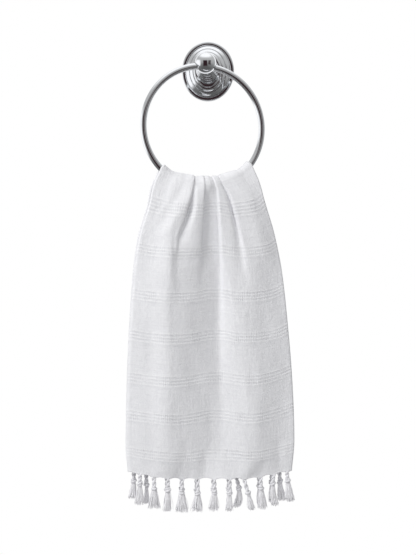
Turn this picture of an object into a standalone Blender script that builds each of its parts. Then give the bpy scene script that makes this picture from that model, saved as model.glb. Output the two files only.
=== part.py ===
"""Fringed hand towel on a wall towel ring.

The towel is one sheet, folded in half lengthwise and hung through the ring: four layers in front
of and behind the wall ring, the lengthwise fold on the left and the two selvages on the right.
Its two ends are knotted into tassels. The ring runs through a ball knob on a stepped post and an
oval wall plate.

Metres, +Z up. The wall is the plane y = 0, the front faces -Y, and the origin is the centre of
the wall plate's flat back.
"""

import math
from collections import namedtuple

import bmesh
import bpy
import numpy as np
from mathutils import Vector

MM = 0.001

# Chrome fixture.
PLATE_HALF_WIDTH = 35.2 * MM
PLATE_HALF_HEIGHT = 39.9 * MM
PLATE_STEPS = (  # inset from the plate's outline, distance from the wall, in millimetres
    (0.0, 0.0),
    (0.0, 3.2),
    (1.4, 5.0),
    (3.4, 5.4),
    (5.0, 4.6),
    (9.6, 8.2),
    (10.6, 10.2),
    (13.4, 11.6),
    (17.0, 12.4),
)
POST_STEPS = (  # distance from the wall, radius, in millimetres
    (12.7, 14.6),
    (15.4, 15.4),
    (17.2, 13.4),
    (19.4, 13.8),
    (21.6, 11.4),
    (24.2, 11.8),
    (27.0, 8.8),
    (33.0, 7.6),
    (37.2, 8.4),
)
KNOB_RADIUS = 14.0 * MM
KNOB_NECK_RADIUS = 8.4 * MM
KNOB_NECK_DISTANCE = 37.5 * MM
KNOB_NECK_MARGIN = math.radians(6.0)  # from the neck's rim to the ball's first ring
KNOB_FRONT_MARGIN = math.radians(9.0)  # from the ball's last ring to its foremost point
RING_DISTANCE = 52.0 * MM
RING_RADIUS = 78.5 * MM
RING_TUBE_RADIUS = 4.3 * MM
RING_CENTRE = Vector((-2.8 * MM, -RING_DISTANCE, -82.3 * MM))
RING_TURN = math.radians(17.0)  # about the vertical: the ring's right side is nearer the wall
RING_BORE_GAP = 0.5 * MM

# Towel.
CLOTH_THICKNESS = 1.4 * MM
FRONT_DROP = 374.5 * MM
REAR_DROP = 300.0 * MM
LAYER_GAP_AT_RING = 2.3 * MM
LAYER_GAP_AT_HEM = 9.2 * MM
LAYER_GAP_POWER = 0.6
SELVAGE_STEP = 1.5 * MM  # the inner layer's selvage stops this far short of the outer one's
SELVAGE_STEP_POWER = 4  # how close to the selvage that step begins
UNTWIST = math.radians(9.0)  # how much less the hem is turned than the ring
RING_RISE_FADE = 0.045  # share of the drop in which the ring's curve leaves the cloth's rows
REAR_FOLD_SOFTENING = 0.25

# Fold lines from the lengthwise fold on the left to the selvages on the right.
FoldLine = namedtuple("FoldLine", "name share")
FOLD_LINES = (  # share of the folded towel's width
    FoldLine("left_fold", 0.00),
    FoldLine("left_crest", 0.24),
    FoldLine("first_crease", 0.33),
    FoldLine("second_crest", 0.38),
    FoldLine("second_edge", 0.43),
    FoldLine("valley", 0.50),
    FoldLine("third_edge", 0.57),
    FoldLine("last_crease", 0.69),
    FoldLine("right_crest", 0.82),
    FoldLine("selvage", 1.00),
)

# Each section lies at a share of the drop below the ring. For each fold line, in millimetres:
# across, from the ring's centre; out, from the ring's plane; rise, above the section's level.
Section = namedtuple("Section", "drop across out rise")
SECTIONS = (
    Section(
        0.00,
        (-56.5, -38.0, -16.0, -9.0, -3.0, 4.0, 12.0, 22.0, 40.0, 63.0),
        (9.4, 10.2, 14.5, 13.5, 15.5, 13.5, 15.0, 13.0, 10.6, 9.4),
        (5.0, 0.0, -1.0, 0.0, 2.0, 4.0, 4.0, 1.0, 2.0, 12.0),
    ),
    Section(
        0.08,
        (-71.5, -48.0, -24.0, -13.0, -4.0, 5.0, 17.0, 34.0, 54.0, 78.0),
        (11.5, 20.0, 14.5, 19.0, 16.0, 10.5, 17.5, 14.0, 20.0, 12.5),
        (5.0, 0.0, -1.0, 0.0, 2.0, 4.0, 4.0, 1.0, 2.0, 12.0),
    ),
    Section(
        0.19,
        (-84.5, -50.5, -34.0, -17.0, -7.0, 5.0, 20.0, 41.0, 64.0, 91.0),
        (12.0, 22.0, 17.0, 20.0, 16.5, 9.0, 19.0, 14.5, 22.0, 13.5),
        (5.0, 0.0, -1.0, 0.0, 2.0, 4.0, 4.0, 1.0, 2.0, 12.0),
    ),
    Section(
        0.32,
        (-90.7, -53.0, -38.0, -22.0, -9.0, 5.0, 21.0, 47.0, 70.0, 101.0),
        (12.5, 24.0, 21.0, 16.5, 11.0, 9.0, 21.0, 19.0, 22.0, 15.0),
        (5.0, 0.0, -0.5, 1.0, 3.0, 4.0, 4.0, 1.0, 2.0, 12.0),
    ),
    Section(
        0.52,
        (-95.7, -50.0, -34.0, -19.0, -6.0, 9.0, 22.0, 48.0, 74.0, 109.5),
        (13.0, 25.0, 22.0, 16.5, 11.5, 10.0, 20.5, 23.0, 21.0, 17.0),
        (5.0, 0.0, 0.0, 1.0, 3.0, 4.5, 4.0, 1.0, 2.0, 12.0),
    ),
    Section(
        0.73,
        (-98.7, -47.0, -28.0, -12.0, 0.0, 11.0, 24.0, 50.0, 78.0, 114.5),
        (14.0, 24.0, 21.0, 17.0, 14.0, 13.5, 17.5, 24.0, 22.0, 18.0),
        (5.0, 0.0, -1.0, 1.0, 3.0, 4.0, 3.0, 0.0, 3.0, 13.0),
    ),
    Section(
        0.89,
        (-100.0, -50.0, -31.0, -20.0, -8.0, 7.0, 22.0, 48.0, 77.0, 116.0),
        (15.0, 23.5, 17.5, 16.5, 18.5, 20.5, 22.0, 24.0, 22.0, 19.0),
        (6.0, 1.0, 0.0, 1.0, 3.0, 3.0, 2.0, 0.0, 2.0, 9.0),
    ),
    Section(
        1.00,
        (-97.0, -50.0, -30.0, -19.0, -8.0, 7.0, 22.0, 48.0, 77.0, 114.0),
        (16.0, 22.0, 18.5, 18.5, 20.0, 21.0, 22.0, 23.0, 21.0, 19.0),
        (12.0, 2.0, 1.0, 0.0, 0.0, 0.0, 0.0, 0.0, 3.0, 10.0),
    ),
)

# Mesh of the towel: columns across a layer and round the fold, rows down each side.
FOLD_ROUND_STEPS = 4
COLUMNS_PER_FOLD_LINE = 2
RING_BEND_STEPS = 7
FRONT_ROWS = (0.0, 0.03, 0.08, 0.14, 0.21, 0.32, 0.43, 0.54, 0.65, 0.76, 0.86, 0.94, 1.0)
REAR_ROWS = (0.0, 0.04, 0.1, 0.2, 0.33, 0.48, 0.65, 0.84, 1.0)

# Tassels: one row each, from the lengthwise fold to the selvage.
Tassel = namedtuple("Tassel", "share lean bow length width")  # width share, then millimetres
FRONT_OUTER_TASSELS = (
    Tassel(0.048, -1.0, 0.0, 39.0, 11.0),
    Tassel(0.130, 0.5, 0.5, 40.0, 12.0),
    Tassel(0.215, -0.5, 0.5, 41.0, 11.0),
    Tassel(0.312, 0.0, -0.5, 42.0, 13.0),
    Tassel(0.407, -0.5, 0.5, 41.5, 12.0),
    Tassel(0.510, 0.0, 0.5, 40.5, 12.0),
    Tassel(0.608, 0.5, 0.0, 40.0, 9.5),
    Tassel(0.700, 7.0, 2.0, 39.0, 9.0),
    Tassel(0.805, 1.0, 0.5, 40.0, 10.5),
    Tassel(0.888, 1.0, -1.5, 39.5, 9.5),
    Tassel(0.972, 3.0, 0.5, 38.0, 10.5),
)
FRONT_INNER_TASSELS = (
    Tassel(0.012, -2.5, 0.5, 36.0, 9.0),
    Tassel(0.085, 0.0, 0.5, 38.5, 9.0),
    Tassel(0.205, 0.5, 0.0, 38.0, 9.0),
    Tassel(0.305, 0.0, 0.5, 38.0, 9.0),
    Tassel(0.400, 0.5, 0.0, 38.0, 9.0),
    Tassel(0.503, 0.0, 0.5, 38.0, 9.0),
    Tassel(0.600, 0.5, 0.0, 38.0, 9.0),
    Tassel(0.655, -0.5, 4.0, 39.0, 10.0),
    Tassel(0.795, 1.0, 0.5, 38.0, 9.0),
    Tassel(0.878, 0.5, 0.0, 38.0, 9.0),
    Tassel(0.940, 1.0, 0.0, 38.0, 10.0),
)
REAR_TASSEL_COUNT = 11
REAR_TASSEL_LENGTH = 40.0
REAR_TASSEL_WIDTH = 10.5
REAR_TASSEL_SWAY = 1.5
REAR_SWAY_STEPS = (2.4, 1.7)  # radians from one tassel to the next, for its lean and its bow
TASSEL_LEAN_POWER = 1.5
TASSEL_SIDES = 8
TASSEL_FLATNESS = 0.68
TASSEL_GAP = 0.6 * MM
STEM_SHARE = 0.013  # half a stem's width as a share of the folded towel's width
TasselRing = namedtuple("TasselRing", "name share radius")
TASSEL_RINGS = (  # share of the length, radius as a share of the brush's half-width
    TasselRing("stem_top", 0.00, 0.40),
    TasselRing("stem_foot", 0.25, 0.38),
    TasselRing("knot_top", 0.32, 0.58),
    TasselRing("knot_foot", 0.41, 0.56),
    TasselRing("neck", 0.47, 0.42),
    TasselRing("brush", 0.72, 0.84),
    TasselRing("brush_end", 1.00, 1.00),
)

RING_SEGMENTS = 60
RING_SIDES = 8
SHARP_EDGE = math.radians(40.0)
PLATE_SEGMENTS = 40
ROUND_SEGMENTS = 24
KNOB_RINGS = 10

COTTON = (0.86, 0.87, 0.88)
TASSEL_COTTON = (0.83, 0.83, 0.84)
CHROME = (0.78, 0.79, 0.80)


def clear_scene():
    """Remove whatever the file opened with."""
    for obj in list(bpy.data.objects):
        bpy.data.objects.remove(obj, do_unlink=True)


def make_material(name, colour, roughness, metallic):
    """A plain Principled material."""
    material = bpy.data.materials.new(name)
    material.use_nodes = True
    material.diffuse_color = (*colour, 1.0)
    shader = material.node_tree.nodes["Principled BSDF"]
    shader.inputs["Base Color"].default_value = (*colour, 1.0)
    shader.inputs["Roughness"].default_value = roughness
    shader.inputs["Metallic"].default_value = metallic
    return material


def add_object(name, mesh_data, material):
    """Link a bmesh as one named object, its faces outward and shaded smooth."""
    bmesh.ops.recalc_face_normals(mesh_data, faces=mesh_data.faces)
    mesh = bpy.data.meshes.new(name)
    mesh_data.to_mesh(mesh)
    mesh_data.free()
    mesh.materials.append(material)
    mesh.shade_smooth()
    mesh.set_sharp_from_angle(angle=SHARP_EDGE)
    obj = bpy.data.objects.new(name, mesh)
    bpy.context.scene.collection.objects.link(obj)
    return obj


def skin_loops(loops, close_along=False):
    """A closed bmesh over loops of equally many points, capped at both ends unless it is a torus."""
    mesh_data = bmesh.new()
    rings = [[mesh_data.verts.new(point) for point in loop] for loop in loops]
    count = len(rings[0])
    pairs = list(zip(rings, rings[1:]))
    if close_along:
        pairs.append((rings[-1], rings[0]))
    for low, high in pairs:
        for index in range(count):
            after = (index + 1) % count
            mesh_data.faces.new((low[index], low[after], high[after], high[index]))
    if not close_along:
        mesh_data.faces.new(reversed(rings[0]))
        mesh_data.faces.new(rings[-1])
    return mesh_data


def circle_points(centre, radius, across, up, segments):
    """Points of a circle, or of an ellipse where across and up differ in length."""
    angles = (2.0 * math.pi * index / segments for index in range(segments))
    return [
        centre + across * (radius * math.cos(angle)) + up * (radius * math.sin(angle))
        for angle in angles
    ]


def ring_frame(turn):
    """Unit vectors along the ring's plane to the right, and out of it to the front."""
    along = Vector((math.cos(turn), math.sin(turn), 0.0))
    outward = Vector((math.sin(turn), -math.cos(turn), 0.0))
    return along, outward


def ring_mesh(tube_radius, segments, sides):
    """The ring as a torus in its turned plane."""
    along, outward = ring_frame(RING_TURN)
    loops = []
    for index in range(segments):
        angle = 2.0 * math.pi * index / segments
        radial = along * math.sin(angle) - Vector((0.0, 0.0, 1.0)) * math.cos(angle)
        centre = RING_CENTRE + radial * RING_RADIUS
        loops.append(circle_points(centre, tube_radius, radial, outward, sides))
    return skin_loops(loops, close_along=True)


def build_wall_plate(material):
    """Oval stepped wall plate: loops of the outline inset by each step."""
    loops = []
    for inset, distance in PLATE_STEPS:
        across = Vector((PLATE_HALF_WIDTH - inset * MM, 0.0, 0.0))
        up = Vector((0.0, 0.0, PLATE_HALF_HEIGHT - inset * MM))
        centre = Vector((0.0, -distance * MM, 0.0))
        loops.append(circle_points(centre, 1.0, across, up, PLATE_SEGMENTS))
    add_object("wall_plate", skin_loops(loops), material)


def turned_loops(steps):
    """Loops of a turned piece on the wall's normal through the origin."""
    return [
        circle_points(
            Vector((0.0, -distance, 0.0)),
            radius,
            Vector((1.0, 0.0, 0.0)),
            Vector((0.0, 0.0, 1.0)),
            ROUND_SEGMENTS,
        )
        for distance, radius in steps
    ]


def build_post(material):
    """Round post with its bead collars."""
    steps = [(distance * MM, radius * MM) for distance, radius in POST_STEPS]
    add_object("post", skin_loops(turned_loops(steps)), material)


def build_knob(material):
    """Ball knob on a short neck, bored for the ring along the ring's own curve."""
    steps = [(KNOB_NECK_DISTANCE, KNOB_NECK_RADIUS)]
    first = math.asin(KNOB_NECK_RADIUS / KNOB_RADIUS) + KNOB_NECK_MARGIN
    for angle in np.linspace(first, math.pi - KNOB_FRONT_MARGIN, KNOB_RINGS):
        steps.append((RING_DISTANCE - KNOB_RADIUS * math.cos(angle), KNOB_RADIUS * math.sin(angle)))
    knob = add_object("knob", skin_loops(turned_loops(steps)), material)

    bore_radius = RING_TUBE_RADIUS + RING_BORE_GAP
    bore = add_object("knob_bore", ring_mesh(bore_radius, RING_SEGMENTS, RING_SIDES), material)
    bore.hide_render = True
    bore.display_type = "WIRE"
    cut = knob.modifiers.new("ring_bore", "BOOLEAN")
    cut.operation = "DIFFERENCE"
    cut.solver = "EXACT"
    cut.object = bore


def through(knots, values, places):
    """Curves through values, a row per knot, that are level at each crest and hollow."""
    knots = np.asarray(knots, float)
    values = np.asarray(values, float)
    spans = np.diff(knots)[:, None]
    slopes = np.diff(values, axis=0) / spans
    before, after = slopes[:-1], slopes[1:]
    same_way = before * after > 0.0
    total = np.where(same_way, before + after, 1.0)
    inner = np.where(same_way, 2.0 * before * after / total, 0.0)
    tangents = np.vstack([slopes[:1], inner, slopes[-1:]])
    cell = np.clip(np.searchsorted(knots, places, side="right") - 1, 0, len(spans) - 1)
    span = spans[cell]
    share = (np.asarray(places, float)[:, None] - knots[cell][:, None]) / span
    rest = 1.0 - share
    return (
        values[cell] * rest**2 * (1.0 + 2.0 * share)
        + values[cell + 1] * share**2 * (3.0 - 2.0 * share)
        + tangents[cell] * span * share * rest**2
        - tangents[cell + 1] * span * share**2 * rest
    )


def fold_values(field, drops, shares):
    """One field of the sections over a grid of drops (rows) and width shares (columns), in metres."""
    by_section = [getattr(section, field) for section in SECTIONS]
    by_row = through([section.drop for section in SECTIONS], by_section, drops)
    return through([line.share for line in FOLD_LINES], by_row.T, shares).T * MM


def towel_points(rows, columns):
    """Middle surface of the towel as an array of rows by columns by xyz.

    A row is (share of its side's drop, bend): bend is 1 on the front, -1 on the rear and runs
    between them over the ring, where the cloth goes round the tube square to it. A column is
    (share of the width, layer, bulge): layer is -1 on the outer layer, 1 on the inner one and
    runs between them round the lengthwise fold, where bulge is above 0.
    """
    drop, bend = np.asarray(rows, float).T
    share, layer, bulge = np.asarray(columns, float).T
    front = bend > 0.0
    section = np.where(front, drop, drop * REAR_DROP / FRONT_DROP)
    side_drop = np.where(front, FRONT_DROP, REAR_DROP)
    gap = LAYER_GAP_AT_RING + (LAYER_GAP_AT_HEM - LAYER_GAP_AT_RING) * drop**LAYER_GAP_POWER

    inset = (1.0 - bulge) * (1.0 - share) / 2.0
    step = SELVAGE_STEP * share**SELVAGE_STEP_POWER * (layer > 0.0)
    across = fold_values("across", section, share) + gap[:, None] * inset - step
    softening = np.where(front, 1.0, 1.0 - REAR_FOLD_SOFTENING * drop)
    out = fold_values("out", section, share) * softening[:, None]
    out -= gap[:, None] / 2.0 * (1.0 + layer)

    at_ring = fold_values("across", np.zeros(1), share)[0] + LAYER_GAP_AT_RING * inset - step
    sine = at_ring / RING_RADIUS
    cosine = np.sqrt(1.0 - sine**2)
    fade = np.exp(-section / RING_RISE_FADE)[:, None]
    rise = fold_values("rise", section, share) * (1.0 - fade) + RING_RADIUS * (1.0 - cosine) * fade

    over = np.cos(bend * math.pi / 2.0)[:, None] * out
    forward = np.sin(bend * math.pi / 2.0)[:, None] * out
    across -= over * sine
    height = RING_CENTRE.z - RING_RADIUS - (side_drop * drop)[:, None] + rise + over * cosine

    turn = (RING_TURN - UNTWIST * drop)[:, None]
    return np.stack(
        [
            RING_CENTRE.x + across * np.cos(turn) + forward * np.sin(turn),
            RING_CENTRE.y + across * np.sin(turn) - forward * np.cos(turn),
            height,
        ],
        axis=-1,
    )


def towel_columns():
    """Columns from the outer selvage round the lengthwise fold to the inner selvage."""
    shares = [line.share for line in FOLD_LINES]
    places = range(COLUMNS_PER_FOLD_LINE * (len(shares) - 1) + 1)
    shares = np.interp(np.array(places) / COLUMNS_PER_FOLD_LINE, range(len(shares)), shares)
    outer = [(share, -1.0, 0.0) for share in shares[::-1]]
    angles = np.linspace(-math.pi / 2.0, math.pi / 2.0, FOLD_ROUND_STEPS + 1)[1:-1]
    fold = [(0.0, math.sin(angle), math.cos(angle)) for angle in angles]
    inner = [(share, 1.0, 0.0) for share in shares]
    return outer + fold + inner


def towel_rows():
    """Rows from the front hem over the ring to the rear hem."""
    front = [(drop, 1.0) for drop in FRONT_ROWS[::-1]]
    over = [(0.0, bend) for bend in np.linspace(1.0, -1.0, RING_BEND_STEPS + 1)[1:-1]]
    rear = [(drop, -1.0) for drop in REAR_ROWS]
    return front + over + rear


def build_towel(material):
    """The towel: its middle surface, thickened to both sides."""
    points = towel_points(towel_rows(), towel_columns())
    row_count, column_count = points.shape[:2]
    mesh_data = bmesh.new()
    grid = [[mesh_data.verts.new(point) for point in row] for row in points]
    for row in range(row_count - 1):
        for column in range(column_count - 1):
            near, far = grid[row], grid[row + 1]
            mesh_data.faces.new((near[column], near[column + 1], far[column + 1], far[column]))
    towel = add_object("towel", mesh_data, material)
    thicken = towel.modifiers.new("cloth_thickness", "SOLIDIFY")
    thicken.thickness = CLOTH_THICKNESS
    thicken.offset = 0.0


def build_tassel(name, tassel, side, layer, material):
    """A tassel hanging from the hem: stem, knot and brush, flattened front to back."""
    shares = np.clip(tassel.share + np.array((0.0, -STEM_SHARE, STEM_SHARE)), 0.0, 1.0)
    hem = towel_points([(1.0, side)], [(share, layer, 0.0) for share in shares])[0]
    root = Vector((hem[0, 0], hem[0, 1], hem[:, 2].min() - TASSEL_GAP))
    along, outward = ring_frame(RING_TURN - UNTWIST)
    half_width = tassel.width * MM / 2.0
    loops = []
    for ring in TASSEL_RINGS:
        sway = tassel.lean * ring.share**TASSEL_LEAN_POWER + tassel.bow * math.sin(math.pi * ring.share)
        centre = root + along * (sway * MM) - Vector((0.0, 0.0, ring.share * tassel.length * MM))
        depth = outward * TASSEL_FLATNESS
        loops.append(
            circle_points(centre, ring.radius * half_width, along, depth, TASSEL_SIDES)
        )
    add_object(name, skin_loops(loops), material)


def rear_tassels(phase):
    """Evenly spaced tassels with a slight sway that runs along the row."""
    return [
        Tassel(
            (index + 0.5) / REAR_TASSEL_COUNT,
            REAR_TASSEL_SWAY * math.sin(REAR_SWAY_STEPS[0] * index + phase),
            0.5 * REAR_TASSEL_SWAY * math.cos(REAR_SWAY_STEPS[1] * index + phase),
            REAR_TASSEL_LENGTH,
            REAR_TASSEL_WIDTH,
        )
        for index in range(REAR_TASSEL_COUNT)
    ]


def build_tassels(material):
    """Four rows of tassels, one on the hem of each layer."""
    for row_name, side, layer, tassels in (
        ("front_outer", 1.0, -1.0, FRONT_OUTER_TASSELS),
        ("front_inner", 1.0, 1.0, FRONT_INNER_TASSELS),
        ("rear_outer", -1.0, -1.0, rear_tassels(0.0)),
        ("rear_inner", -1.0, 1.0, rear_tassels(1.0)),
    ):
        for number, tassel in enumerate(tassels, start=1):
            build_tassel(f"tassel_{row_name}_{number:02d}", tassel, side, layer, material)


def main():
    clear_scene()
    chrome = make_material("chrome", CHROME, 0.08, 1.0)
    cotton = make_material("towel_cotton", COTTON, 0.92, 0.0)
    tassel_cotton = make_material("tassel_cotton", TASSEL_COTTON, 0.95, 0.0)

    build_wall_plate(chrome)
    build_post(chrome)
    build_knob(chrome)
    add_object("ring", ring_mesh(RING_TUBE_RADIUS, RING_SEGMENTS, RING_SIDES), chrome)
    build_towel(cotton)
    build_tassels(tassel_cotton)


main()
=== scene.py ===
"""Fringed hand towel on a wall towel ring: the finished cloth, tassels and chrome.

The towel is one sheet, folded in half lengthwise and hung through the ring, so four layers hang
from it: an outer and an inner one on the front, and the same on the rear. Cloth, yarn and chrome
are surfaces worked out on grids of two parameters.

Metres, +Z up. The wall is the plane y = 0, the front faces -Y, and the origin is the centre of
the wall plate's flat back.
"""

import math
from collections import namedtuple

import bpy
import numpy as np
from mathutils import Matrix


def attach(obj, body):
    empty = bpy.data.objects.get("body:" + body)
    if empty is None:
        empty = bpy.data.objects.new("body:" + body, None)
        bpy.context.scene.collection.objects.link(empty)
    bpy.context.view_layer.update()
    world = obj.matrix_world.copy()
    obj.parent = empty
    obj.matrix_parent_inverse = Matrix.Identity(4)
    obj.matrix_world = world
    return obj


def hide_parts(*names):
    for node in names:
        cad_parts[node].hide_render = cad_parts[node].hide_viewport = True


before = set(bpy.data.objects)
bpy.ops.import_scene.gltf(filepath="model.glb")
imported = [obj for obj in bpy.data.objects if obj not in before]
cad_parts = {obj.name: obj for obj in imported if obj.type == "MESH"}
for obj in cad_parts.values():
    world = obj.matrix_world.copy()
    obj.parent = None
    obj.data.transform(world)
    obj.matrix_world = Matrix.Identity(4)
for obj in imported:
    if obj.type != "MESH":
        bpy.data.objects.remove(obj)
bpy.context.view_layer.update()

MM = 0.001
UP = np.array((0.0, 0.0, 1.0))

# Ring and the way it hangs.
RING_DISTANCE = 52.0
RING_RADIUS = 78.5
RING_TUBE_RADIUS = 4.3
RING_CENTRE = np.array((-2.8, -RING_DISTANCE, -82.3))
RING_TURN = math.radians(17.0)

# Towel, in millimetres.
HALF_WIDTH = 230.0  # of the flat cloth, from the lengthwise fold to a selvage
FRONT_DROP = 374.5
REAR_DROP = 300.0
HALF_THICKNESS = 0.4
GAP_AT_RING = 1.6
GAP_AT_HEM = 9.2
GAP_POWER = 0.6
SELVAGE_STEP = 1.5
SELVAGE_STEP_POWER = 4
UNTWIST = math.radians(9.0)
RING_RISE_FADE = 0.045
REAR_FOLD_SOFTENING = 0.2
WAVE_SETTLE_DROP = 0.1  # share of the drop over which the cloth's unevenness grows
PATTERN_OVER_RING = 40.0  # of the weave's length, from the front's top edge to the rear's

FoldLine = namedtuple("FoldLine", "name share")
FOLD_LINES = (  # share of the folded towel's width, from the lengthwise fold to the selvages
    FoldLine("left_fold", 0.000),
    FoldLine("left_hollow", 0.100),
    FoldLine("left_crest", 0.210),
    FoldLine("crease_lip", 0.275),
    FoldLine("crease_foot", 0.320),
    FoldLine("second_crest", 0.360),
    FoldLine("second_lip", 0.405),
    FoldLine("valley_foot", 0.445),
    FoldLine("valley", 0.495),
    FoldLine("third_foot", 0.550),
    FoldLine("third_lip", 0.595),
    FoldLine("third_back", 0.670),
    FoldLine("last_foot", 0.725),
    FoldLine("last_lip", 0.770),
    FoldLine("right_crest", 0.855),
    FoldLine("right_flank", 0.930),
    FoldLine("selvage", 1.000),
)

# Each section lies at a share of the drop below the ring. For each fold line, in millimetres:
# across, from the ring's centre; out, from the ring's plane; rise, above the section's level.
Section = namedtuple("Section", "drop across out rise")
TOP_RISE = (5, 2, 0, -0.5, -1, -0.5, 0.5, 2, 4, 4, 4, 1.5, 1, 1, 2.5, 6, 12)
MIDDLE_RISE = (5, 2, 0, 0, 0, 0.5, 1.5, 3, 4.5, 4.5, 4, 1.5, 1, 1, 2.5, 6, 12)
SECTIONS = (
    Section(
        0.0,
        (-56.5, -48, -32, -18, -16, -10, -3, -1.5, 4.5, 12, 14, 20, 22, 24, 41, 53, 63),
        (6.8, 7.2, 12.2, 14.7, 13.3, 14.2, 15.8, 15, 15.5, 13, 14.5, 13.6, 12.6, 13.8, 12, 7.4, 6.8),
        TOP_RISE,
    ),
    Section(
        0.035,
        (-67, -56, -39, -22, -20, -13, -4.5, -2.5, 4, 14, 16, 25, 29, 32, 51, 65, 72.5),
        (9, 11, 17, 18.5, 13.5, 17.5, 17, 12.5, 12, 11.5, 16.5, 15.5, 12.5, 17.5, 16, 12, 9.5),
        TOP_RISE,
    ),
    Section(
        0.08,
        (-71.7, -61, -43, -27.5, -24, -14.5, -5, -3, 4, 15, 17, 29, 34.5, 37.5, 57, 70, 78),
        (10, 13, 20, 20, 13, 19.5, 17.5, 11, 10, 9, 17.5, 16.5, 12, 19.5, 19, 15, 12),
        TOP_RISE,
    ),
    Section(
        0.19,
        (-84.5, -70, -48, -41.5, -36.5, -22, -8, -5, 4, 17, 19.5, 34, 43.5, 48.5, 68, 81.5, 91),
        (11, 15, 23, 22.2, 20, 21.2, 18.2, 11.5, 9.3, 7.5, 17.3, 18.5, 15.5, 20.3, 20, 16.8, 13.5),
        TOP_RISE,
    ),
    Section(
        0.32,
        (-90.8, -74.5, -50.5, -44, -38.5, -25, -12.5, -5, 5, 18, 22.5, 35, 48, 56.5, 73.5, 89, 101),
        (11, 16.3, 25, 24.3, 23.3, 21, 17.5, 14, 11, 7.8, 15.2, 19.8, 20, 20.6, 18.5, 15.6, 13),
        MIDDLE_RISE,
    ),
    Section(
        0.52,
        (-95.8, -76, -51.5, -42, -32.5, -24, -15, -6.5, 5, 17, 26.5, 39, 51.5, 60.5, 77.5, 94.5, 109),
        (11.5, 17.4, 25.8, 24.8, 23, 20.7, 18.2, 15.8, 12.3, 9, 14.3, 20, 21.9, 21.8, 18.9, 15.6, 13),
        MIDDLE_RISE,
    ),
    Section(
        0.73,
        (-98.8, -77.5, -50, -39, -30, -22, -12.5, -3, 7.5, 18, 28.5, 43, 54, 63, 81.5, 98.5, 114.8),
        (12.2, 18.3, 26, 25.1, 23.3, 21.2, 18.5, 15.8, 12.8, 11.4, 14.7, 20.4, 23, 23.1, 19.2, 15.3, 12.9),
        (5, 2, 0, -0.5, 0, 1, 2, 3.5, 4.5, 4, 3, 1, 0, 0, 3, 7, 13),
    ),
    Section(
        0.89,
        (-100, -77, -51.5, -39, -29.5, -20, -11, -2.5, 6.5, 18, 27, 42.5, 54, 63, 82.5, 99.5, 116.5),
        (13, 18.8, 25, 23.6, 21.7, 19.8, 18, 16.2, 14.8, 14.8, 16.1, 19.9, 22.6, 23.3, 18.8, 15, 13),
        (6, 3, 1, 0, 0, 0.5, 1.5, 2.5, 3, 2.5, 2, 1, 0, 0, 2, 5, 9),
    ),
    Section(
        1.0,
        (-97, -75, -51.5, -39, -30, -21, -12, -3.5, 7, 18.5, 27.5, 43, 54.5, 63.5, 81.5, 97, 113),
        (16, 20, 21.5, 18.5, 16.5, 15.5, 15.5, 16.5, 18, 20, 21, 22.3, 22.5, 20.5, 16.5, 15, 13),
        (12, 5, 2, 1, 0.5, 0, 0, 0, 0, 0, 0, 0, 0, 0.5, 3, 5, 10),
    ),
)

# Soft creases on the front's outer layer: from and to are (width share, drop share), width and
# height in millimetres, and a height under zero is a trough.
Crease = namedtuple("Crease", "from_share from_drop to_share to_drop width height")
CREASES = (
    Crease(0.225, 0.020, 0.150, 0.130, 6.0, -2.0),
    Crease(0.265, 0.050, 0.200, 0.150, 5.0, 0.9),
    Crease(0.300, 0.200, 0.390, 0.200, 8.0, 0.9),
    Crease(0.290, 0.245, 0.380, 0.245, 5.0, -0.6),
    Crease(0.120, 0.480, 0.125, 0.960, 8.0, -1.3),
    Crease(0.700, 0.975, 0.790, 0.930, 8.0, 0.9),
    Crease(0.740, 1.000, 0.830, 0.955, 8.0, -1.0),
    Crease(0.130, 0.930, 0.150, 1.000, 6.0, 0.9),
    Crease(0.320, 0.900, 0.290, 1.000, 7.0, -0.9),
    Crease(0.400, 0.930, 0.385, 1.000, 6.0, 0.9),
    Crease(0.460, 0.920, 0.450, 1.000, 6.0, -0.8),
    Crease(0.560, 0.930, 0.590, 1.000, 6.0, 0.8),
    Crease(0.650, 0.920, 0.655, 1.000, 6.0, -0.7),
    Crease(0.850, 0.930, 0.840, 1.000, 6.0, 0.9),
    Crease(0.910, 0.900, 0.930, 1.000, 6.0, -1.2),
)

# Slight unevenness of the cloth: waves per half width, waves per drop, phase, height.
Wave = namedtuple("Wave", "across along phase height")
WAVES = (
    Wave(3.1, 2.3, 0.4, 0.35),
    Wave(-5.3, 3.9, 1.9, 0.22),
    Wave(8.7, -5.2, 4.1, 0.13),
)

# Woven ribs in groups: the group's centre below the ring, in millimetres, and its ribs.
RibGroup = namedtuple("RibGroup", "centre ribs")
FRONT_RIBS = (
    RibGroup(30.3, 5),
    RibGroup(83.9, 4),
    RibGroup(141.2, 4),
    RibGroup(193.6, 4),
    RibGroup(247.2, 4),
    RibGroup(295.1, 4),
    RibGroup(343.4, 4),
)
REAR_RIBS = (
    RibGroup(13.0, 4),
    RibGroup(63.0, 4),
    RibGroup(116.0, 4),
    RibGroup(170.0, 4),
    RibGroup(218.0, 4),
    RibGroup(266.0, 4),
)
RIB_PITCH = 4.1
RIB_HALF_WIDTH = 1.1
RIB_HEIGHT = 0.19
GROOVE_PLACE = 1.9  # a thin groove below each rib, also painted darker as the rib's shadow
GROOVE_HALF_WIDTH = 0.9
GROOVE_DEPTH = 0.06
OPENWORK_EDGE = 1.0  # how far the openwork reaches past the outer ribs' centres
FRONT_RIB_ROWS = (-1.2, -0.6, 0.0, 0.6, 1.2, 1.9)
REAR_RIB_ROWS = (-1.2, 0.0, 1.2, 1.9)
ROW_PITCH = 4.8
ROW_CLEARANCE = 0.25  # share of the pitch within which a close row replaces an even one
HEM_ROWS = (0.0, 0.6, 1.4, 2.4, 3.6, 5.2, 7.0, 9.5)
RING_ROWS = 12
COLUMNS_PER_FOLD = 5
INNER_COLUMNS = 33
FOLD_COLUMNS = 6
SELVAGE_COLUMNS = (0.965, 0.978, 0.992)
COLUMN_CLEARANCE = 0.003  # width share within which a selvage column replaces an even one
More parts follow.
